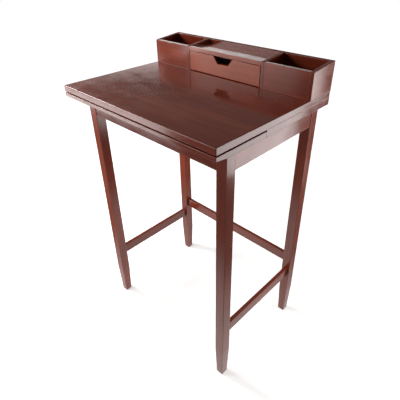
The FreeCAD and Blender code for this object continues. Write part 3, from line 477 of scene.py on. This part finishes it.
def turnedBar(tree, start, end, rings, sides, radius):
    # a round bar along Z between two heights, its radius a field along the way
    low = addNode(tree, "ShaderNodeCombineXYZ", {"Z": start})
    high = addNode(tree, "ShaderNodeCombineXYZ", {"Z": end})
    line = addNode(tree, "GeometryNodeCurvePrimitiveLine", {"Start": low, "End": high})
    line = addNode(tree, "GeometryNodeResampleCurve", {"Curve": line, "Count": rings})
    section = addNode(tree, "GeometryNodeCurvePrimitiveCircle", {"Resolution": sides, "Radius": 1.0})
    return addNode(tree, "GeometryNodeCurveToMesh",
                   {"Curve": line, "Profile Curve": section, "Scale": radius, "Fill Caps": True})


def fromNearerEnd(tree, length):
    # how far a point of a turned bar is from the nearer of its two ends
    along = addNode(tree, "GeometryNodeSplineParameter", output="Length")
    left = addNode(tree, "ShaderNodeMath", {"Value": length, "Value_001": along}, operation="SUBTRACT")
    return addNode(tree, "ShaderNodeMath", {"Value": along, "Value_001": left}, operation="MINIMUM")


def everySecond(tree):
    # 1 on every second point, 0 on the others
    index = addNode(tree, "GeometryNodeInputIndex")
    return addNode(tree, "ShaderNodeMath", {"Value": index, "Value_001": 2.0}, operation="MODULO")


twistSeed = 7    # each piece's turn round its own axis is drawn with this


def setOut(tree, given, piece):
    # a copy of the piece on every seat, turned the way the seat says and then round its own axis
    turn = addNode(tree, "GeometryNodeInputNamedAttribute", {"Name": "turn"}, data_type="FLOAT_VECTOR")
    twist = addNode(tree, "FunctionNodeRandomValue", {"Min_001": 0.0, "Max_001": math.pi, "Seed": twistSeed})
    about = addNode(tree, "ShaderNodeCombineXYZ", {"Z": twist})
    placed = addNode(tree, "GeometryNodeInstanceOnPoints",
                     {"Points": given["Seats"], "Instance": piece, "Rotation": turn})
    placed = addNode(tree, "GeometryNodeRotateInstances", {"Instances": placed, "Rotation": about})
    solid = addNode(tree, "GeometryNodeRealizeInstances", {"Geometry": placed})
    painted = addNode(tree, "GeometryNodeSetMaterial", {"Geometry": solid, "Material": given["Finish"]})
    addNode(tree, "NodeGroupOutput", {"Pieces": painted})
    return tree


screw = {
    # the tree's inputs, in metres
    "Head Radius": 0.004,
    "Head Height": 0.003,
    "Shank Radius": 0.002,
    "Pitch": 0.0022,
    "Recess": 0.0018,
    # its shape
    "dome": ((0.0, 0.6), (1.0, 1.0), (0.18, 0.84), (0.5, 0.97)),    # share of the height, of the radius
    "domeRings": 7,
    "domeSides": 28,
    "slotLength": 2.4,      # in depths of the recess
    "slotWidth": 0.45,
    "shankSides": 12,
    "root": 0.68,           # the radius between two ridges, next to a ridge's 1
    "tipStart": 0.88,       # share of the shank's length
    "tipRadius": 0.1,
}


def screwTree():
    # a domed head with a cross recess, and a shank with ridges in place of a thread
    sizes = ("Length", "Head Radius", "Head Height", "Shank Radius", "Pitch", "Recess")
    tree, given = newTree("crossHeadScrew", {**{label: "Float" for label in sizes}, "Finish": "Material"})
    along = addNode(tree, "GeometryNodeSplineParameter", output="Factor")
    dome = addNode(tree, "ShaderNodeFloatCurve", {"Value": along})
    curve = dome.node.mapping.curves[0]
    start, end, *between = screw["dome"]
    curve.points[0].location = start
    curve.points[1].location = end
    for spot in between:
        curve.points.new(*spot)
    dome.node.mapping.update()
    girth = addNode(tree, "ShaderNodeMath", {"Value": dome, "Value_001": given["Head Radius"]},
                    operation="MULTIPLY")
    head = turnedBar(tree, 0.0, given["Head Height"], screw["domeRings"], screw["domeSides"], girth)
    wide = addNode(tree, "ShaderNodeMath", {"Value": given["Recess"], "Value_001": screw["slotLength"]},
                   operation="MULTIPLY")
    thin = addNode(tree, "ShaderNodeMath", {"Value": given["Recess"], "Value_001": screw["slotWidth"]},
                   operation="MULTIPLY")
    for spanX, spanY in ((wide, thin), (thin, wide)):
        span = addNode(tree, "ShaderNodeCombineXYZ", {"X": spanX, "Y": spanY, "Z": given["Recess"]})
        slot = addNode(tree, "GeometryNodeMeshCube", {"Size": span})
        head = addNode(tree, "GeometryNodeMeshBoolean", {"Mesh 1": head, "Mesh 2": slot},
                       operation="DIFFERENCE")
    whole = addNode(tree, "ShaderNodeMath", {"Value": given["Head Height"], "Value_001": given["Length"]})
    turns = addNode(tree, "ShaderNodeMath", {"Value": given["Length"], "Value_001": given["Pitch"]},
                    operation="DIVIDE")
    rings = addNode(tree, "ShaderNodeMath", {"Value": turns, "Value_001": 2.0, "Value_002": 1.0},
                    operation="MULTIPLY_ADD")
    ridge = addNode(tree, "ShaderNodeMapRange",
                    {"Value": everySecond(tree), "To Min": screw["root"], "To Max": 1.0})
    tip = addNode(tree, "ShaderNodeMapRange",
                  {"Value": addNode(tree, "GeometryNodeSplineParameter", output="Factor"),
                   "From Min": screw["tipStart"], "From Max": 1.0, "To Min": 1.0,
                   "To Max": screw["tipRadius"]})
    shape = addNode(tree, "ShaderNodeMath", {"Value": ridge, "Value_001": tip}, operation="MULTIPLY")
    thick = addNode(tree, "ShaderNodeMath", {"Value": shape, "Value_001": given["Shank Radius"]},
                    operation="MULTIPLY")
    shank = turnedBar(tree, given["Head Height"], whole, rings, screw["shankSides"], thick)
    both = addNode(tree, "GeometryNodeJoinGeometry", {"Geometry": head})
    tree.links.new(shank, both.node.inputs[0])
    return setOut(tree, given, both)


peg = {
    # the tree's inputs, in metres but for the number of flutes
    "Length": 0.02,
    "Radius": 0.003,
    "Flutes": 12,
    "Chamfer": 0.0014,
    # its shape
    "rings": 15,
    "endRadius": 0.72,      # at the end of the chamfer, next to the full radius's 1
    "fluteRadius": 0.9,     # in the flutes
}


def pegTree():
    # a fluted dowel with chamfered ends
    tree, given = newTree("flutedDowel", {"Length": "Float", "Radius": "Float", "Flutes": "Int",
                                          "Chamfer": "Float", "Finish": "Material"})
    sides = addNode(tree, "ShaderNodeMath", {"Value": given["Flutes"], "Value_001": 2.0},
                    operation="MULTIPLY")
    shape = addNode(tree, "ShaderNodeMapRange",
                    {"Value": fromNearerEnd(tree, given["Length"]), "From Min": 0.0,
                     "From Max": given["Chamfer"], "To Min": peg["endRadius"], "To Max": 1.0})
    thick = addNode(tree, "ShaderNodeMath", {"Value": shape, "Value_001": given["Radius"]},
                    operation="MULTIPLY")
    bar = turnedBar(tree, 0.0, given["Length"], peg["rings"], sides, thick)
    groove = addNode(tree, "ShaderNodeMapRange",
                     {"Value": everySecond(tree), "To Min": 1.0, "To Max": peg["fluteRadius"]})
    place = addNode(tree, "GeometryNodeInputPosition")
    squeeze = addNode(tree, "ShaderNodeCombineXYZ", {"X": groove, "Y": groove, "Z": 1.0})
    pulled = addNode(tree, "ShaderNodeVectorMath", {"Vector": place, "Vector_001": squeeze},
                     operation="MULTIPLY")
    bar = addNode(tree, "GeometryNodeSetPosition", {"Geometry": bar, "Position": pulled})
    return setOut(tree, given, bar)


glide = {"Radius": 0.009, "Height": 0.0025, "Rounding": 0.0012, "Roughness": 0.0, "Pin Radius": 0.0015,
         "Pin Length": 0.014}
pad = {"Radius": 0.008, "Rounding": 0.0008, "Roughness": 0.0006, "Pin Radius": 0.0, "Pin Length": 0.0}
disc = {
    # what the glides and the pads share
    "rings": 9,
    "sides": 40,
    "tufts": (900.0, 2.0),    # scale per metre, about 1 mm, and levels of detail
    "pinRings": 2,
    "pinSides": 12,
}


def discTree():
    # a flat round disc with a softened rim, rough where it is felt, and a pin where it is nailed on
    sizes = ("Radius", "Height", "Rounding", "Roughness", "Pin Radius", "Pin Length")
    tree, given = newTree("roundedDisc", {**{label: "Float" for label in sizes}, "Finish": "Material"})
    rise = addNode(tree, "ShaderNodeMapRange",
                   {"Value": fromNearerEnd(tree, given["Height"]), "From Min": 0.0,
                    "From Max": given["Rounding"], "To Min": 1.0, "To Max": 0.0},
                   interpolation_type="SMOOTHSTEP")
    back = addNode(tree, "ShaderNodeMath", {"Value": rise, "Value_001": given["Rounding"]},
                   operation="MULTIPLY")
    girth = addNode(tree, "ShaderNodeMath", {"Value": given["Radius"], "Value_001": back},
                    operation="SUBTRACT")
    plate = turnedBar(tree, 0.0, given["Height"], disc["rings"], disc["sides"], girth)
    scale, detail = disc["tufts"]
    ragged = addNode(tree, "ShaderNodeTexNoise", {"Scale": scale, "Detail": detail})
    inwards = addNode(tree, "ShaderNodeMath", {"Value": ragged, "Value_001": given["Roughness"]},
                      operation="MULTIPLY")
    pulled = addNode(tree, "ShaderNodeMath", {"Value": inwards, "Value_001": -1.0}, operation="MULTIPLY")
    facing = addNode(tree, "GeometryNodeInputNormal")
    offset = addNode(tree, "ShaderNodeVectorMath", {"Vector": facing, "Scale": pulled}, operation="SCALE")
    plate = addNode(tree, "GeometryNodeSetPosition", {"Geometry": plate, "Offset": offset})
    top = addNode(tree, "ShaderNodeMath", {"Value": given["Height"], "Value_001": given["Pin Length"]})
    pin = turnedBar(tree, given["Height"], top, disc["pinRings"], disc["pinSides"], given["Pin Radius"])
    nailed = addNode(tree, "FunctionNodeCompare", {"A": given["Pin Length"], "B": 0.0},
                     operation="GREATER_THAN")
    pin = addNode(tree, "GeometryNodeSwitch", {"Switch": nailed, "True": pin}, input_type="GEOMETRY")
    both = addNode(tree, "GeometryNodeJoinGeometry", {"Geometry": plate})
    tree.links.new(pin, both.node.inputs[0])
    return setOut(tree, given, both)


weldDistance = 1e-5    # metres; corners this near are one corner


def looseSolids(node):
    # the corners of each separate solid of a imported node
    mesh = bmesh.new()
    mesh.from_mesh(frame["nodes"][node].data)
    bmesh.ops.remove_doubles(mesh, verts=mesh.verts, dist=weldDistance)
    left = set(mesh.verts)
    solids = []
    while left:
        reached = [left.pop()]
        for vert in reached:
            for edge in vert.link_edges:
                other = edge.other_vert(vert)
                if other in left:
                    left.discard(other)
                    reached.append(other)
        solids.append([vert.co.copy() for vert in reached])
    mesh.free()
    return solids


def seatsOf(node, axis=None):
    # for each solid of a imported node: the middle of its wider end, the way to its other end, and its length
    seats = []
    for spots in looseSolids(node):
        low = Vector([min(spot[index] for spot in spots) for index in range(3)])
        high = Vector([max(spot[index] for spot in spots) for index in range(3)])
        run = "xyz".index(axis) if axis else max(range(3), key=lambda index: high[index] - low[index])
        middle = (low + high) / 2
        widths = {"low": 0.0, "high": 0.0}
        for spot in spots:
            across = spot - middle
            across[run] = 0
            end = "low" if spot[run] < middle[run] else "high"
            widths[end] = max(widths[end], across.length)
        headLow = widths["low"] >= widths["high"]
        start = middle.copy()
        start[run] = low[run] if headLow else high[run]
        toward = Vector((0, 0, 0))
        toward[run] = 1 if headLow else -1
        seats.append((start, toward, high[run] - low[run]))
    return sorted(seats, key=lambda seat: tuple(round(part, 4) for part in seat[0]))


def makeSet(node, name, tree, sizes, finish, axis=None):
    # points on the seats, the tree's pieces on the points, and one plain mesh of it all
    seats = seatsOf(node, axis)
    mesh = bpy.data.meshes.new(f"{name}_seats")
    mesh.from_pydata([start for start, toward, length in seats], [], [])
    turns = mesh.attributes.new("turn", "FLOAT_VECTOR", "POINT")
    for index, (start, toward, length) in enumerate(seats):
        turns.data[index].vector = Vector((0, 0, 1)).rotation_difference(toward).to_euler()
    holder = bpy.data.objects.new(f"{name}_seats", mesh)
    bpy.context.scene.collection.objects.link(holder)
    modifier = holder.modifiers.new(name, "NODES")
    modifier.node_group = tree
    values = {**sizes, "Finish": finish}
    for item in tree.interface.items_tree:
        if item.in_out == "INPUT" and item.name in values:
            modifier[item.identifier] = values[item.name]
    made = bpy.data.meshes.new_from_object(holder.evaluated_get(bpy.context.evaluated_depsgraph_get()))
    bpy.data.objects.remove(holder)
    piece = bpy.data.objects.new(name, made)
    bpy.context.scene.collection.objects.link(piece)
    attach(piece, frame["nodes"][node]["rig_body"])
    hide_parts(node)


steel = zincSteel()
screws = screwTree()
screwSets = {
    "corner_block_screws": "cornerBlockScrews",
    "cleat_screws": "cleatScrews",
    "top_fixing_screws": "topFixingScrews",
    "leaf_screws": "leafScrews",
    "top_board_screws": "topBoardScrews",
}
for node, name in screwSets.items():
    length = seatsOf(node)[0][2] - screw["Head Height"]
    makeSet(node, name, screws, {**screw, "Length": length}, steel)
dress("drawer_nails", steel)

pegs = pegTree()
pegSets = {"organizer_dowels": ("organizerDowels", "x"), "organizer_base_dowels": ("baseDowels", "z")}
for node, (name, grain) in pegSets.items():
    finish = bareWood(f"bareBeech_{name}", grain, cutAt["dowels"], bareBeech)
    makeSet(node, name, pegs, peg, finish)

discs = discTree()
makeSet("foot_glides", "nailOnGlides", discs, glide, mouldedNylon(), "z")
padHeight = seatsOf("leaf_felt_pads", "z")[0][2]
makeSet("leaf_felt_pads", "feltPads", discs, {**pad, "Height": padHeight}, pressedFelt(), "z")
print("fittings set out")


# floor, background and light
studio = {
    "floor": "#f2f1ef",
    "reach": 9.0,           # metres from the desk to the floor's edges
    # each patch of light: its middle, where it starts and stops changing, and its levels there
    "glow": ((0.0, 0.0, 0.0), 0.8, 2.5, 0.5, 1.0),        # added to what the eye sees of the floor
    "pool": ((-0.05, 0.0, 0.0), 0.42, 0.85, 1.15, 0.2),   # what the lacquer mirrors of the floor
    "sky": ((14.0, 2.0), (15.2, 0.06), (20.0, 0.17)),     # what it mirrors above: elevations, levels there
    "room": 0.06,
    "white": (1.0, 1.0, 1.0, 1.0),
}


def seenDirectly(tree):
    # 1 for what the eye sees straight on or through glass, and the ray kinds themselves
    rays = addNode(tree, "ShaderNodeLightPath", output="Is Camera Ray").node.outputs
    direct = addNode(tree, "ShaderNodeMath",
                     {"Value": rays["Is Camera Ray"], "Value_001": rays["Is Transmission Ray"]},
                     operation="MAXIMUM")
    return direct, rays


def paleFloor():
    # matt and pale; the eye sees it glow to white, and the lacquer mirrors a lit pool round the desk
    material, tree = newMaterial("paleSweep")
    matt = addNode(tree, "ShaderNodeBsdfDiffuse", {"Color": linear(studio["floor"])})
    direct, rays = seenDirectly(tree)
    place = addNode(tree, "ShaderNodeTexCoord", output="Object")
    patches = {}
    for name in ("glow", "pool"):
        middle, start, end, near, far = studio[name]
        away = addNode(tree, "ShaderNodeVectorMath", {"Vector": place, "Vector_001": middle}, "Value",
                       operation="DISTANCE")
        level = addNode(tree, "ShaderNodeMapRange",
                        {"Value": away, "From Min": start, "From Max": end, "To Min": near, "To Max": far})
        patches[name] = addNode(tree, "ShaderNodeEmission", {"Color": studio["white"], "Strength": level})
    glowing = addNode(tree, "ShaderNodeAddShader", {"Shader": matt, "Shader_001": patches["glow"]})
    surface = addNode(tree, "ShaderNodeMixShader", {"Fac": direct, "Shader": matt, "Shader_001": glowing})
    surface = addNode(tree, "ShaderNodeMixShader",
                      {"Fac": rays["Is Glossy Ray"], "Shader": surface, "Shader_001": patches["pool"]})
    addNode(tree, "ShaderNodeOutputMaterial", {"Surface": surface})
    mesh = bpy.data.meshes.new("studioFloor")
    reach = studio["reach"]
    corners = [(-reach, -reach, 0), (reach, -reach, 0), (reach, reach, 0), (-reach, reach, 0)]
    mesh.from_pydata(corners, [], [(0, 1, 2, 3)])
    mesh.materials.append(material)
    floor = bpy.data.objects.new("studioFloor", mesh)
    bpy.context.scene.collection.objects.link(floor)


def whiteWorld():
    # white to the eye; the lacquer mirrors a bright band low down and a dim room above it
    world = bpy.data.worlds.new("studio")
    world.use_nodes = True
    bpy.context.scene.world = world
    tree = world.node_tree
    tree.nodes.clear()
    direct, rays = seenDirectly(tree)
    way = addNode(tree, "ShaderNodeTexCoord", output="Generated")
    rise = addNode(tree, "ShaderNodeSeparateXYZ", {"Vector": way}, "Z")
    sky = studio["sky"][0][1]
    for (start, level), (end, nextLevel) in zip(studio["sky"], studio["sky"][1:]):
        step = addNode(tree, "ShaderNodeMapRange",
                       {"Value": rise, "From Min": math.sin(math.radians(start)),
                        "From Max": math.sin(math.radians(end)), "To Min": 0.0, "To Max": nextLevel - level})
        sky = addNode(tree, "ShaderNodeMath", {"Value": step, "Value_001": sky})
    room = addNode(tree, "ShaderNodeMix", {"Factor_Float": rays["Is Glossy Ray"], "A_Float": studio["room"],
                                           "B_Float": sky})
    seen = addNode(tree, "ShaderNodeMix", {"Factor_Float": direct, "A_Float": room, "B_Float": 1.0})
    back = addNode(tree, "ShaderNodeBackground", {"Color": studio["white"], "Strength": seen})
    addNode(tree, "ShaderNodeOutputWorld", {"Surface": back})


lampAim = (0, 0, 0.8)    # where a lamp with no aim of its own points
lamps = {
    "keyLeft": {"place": (-1.8, -0.55, 1.9), "size": (0.7, 0.7), "power": 42},
    "keyFront": {"place": (-1.18, -1.5, 1.25), "size": (0.94, 1.1), "power": 18},
    "stripLeft": {"place": (-1.41, -1.0, 0.48), "size": (1.43, 0.2), "power": 3.8, "aim": (-1.41, 0, 0.48)},
    "boardFront": {"place": (-1.01, -1.0, 0.84), "size": (0.82, 0.32), "power": 3.1, "aim": (-1.01, 0, 0.84)},
    "kickRear": {"place": (1.3, 1.03, 0.42), "size": (0.79, 0.84), "power": 8.8, "aim": (0.515, -0.01, 0.42)},
    "kickHigh": {"place": (1.085, 1.16, 0.78), "size": (0.45, 0.34), "power": 1.5, "aim": (0.36, 0.2, 0.78)},
    "kickSide": {"place": (1.6, 0.8, 1.2), "size": (0.5, 0.5), "power": 10, "aim": (0.3, 0, 0.8)},
}


def hangLamp(name, facts):
    data = bpy.data.lights.new(name, "AREA")
    data.shape = "RECTANGLE"
    data.size, data.size_y = facts["size"]
    data.energy = facts["power"]
    lamp = bpy.data.objects.new(name, data)
    bpy.context.scene.collection.objects.link(lamp)
    lamp.location = facts["place"]
    toward = Vector(facts.get("aim", lampAim)) - lamp.location
    lamp.rotation_euler = toward.to_track_quat("-Z", "Y").to_euler()
    lamp.visible_camera = False


paleFloor()
whiteWorld()
for name, facts in lamps.items():
    hangLamp(name, facts)
print("studio lit")
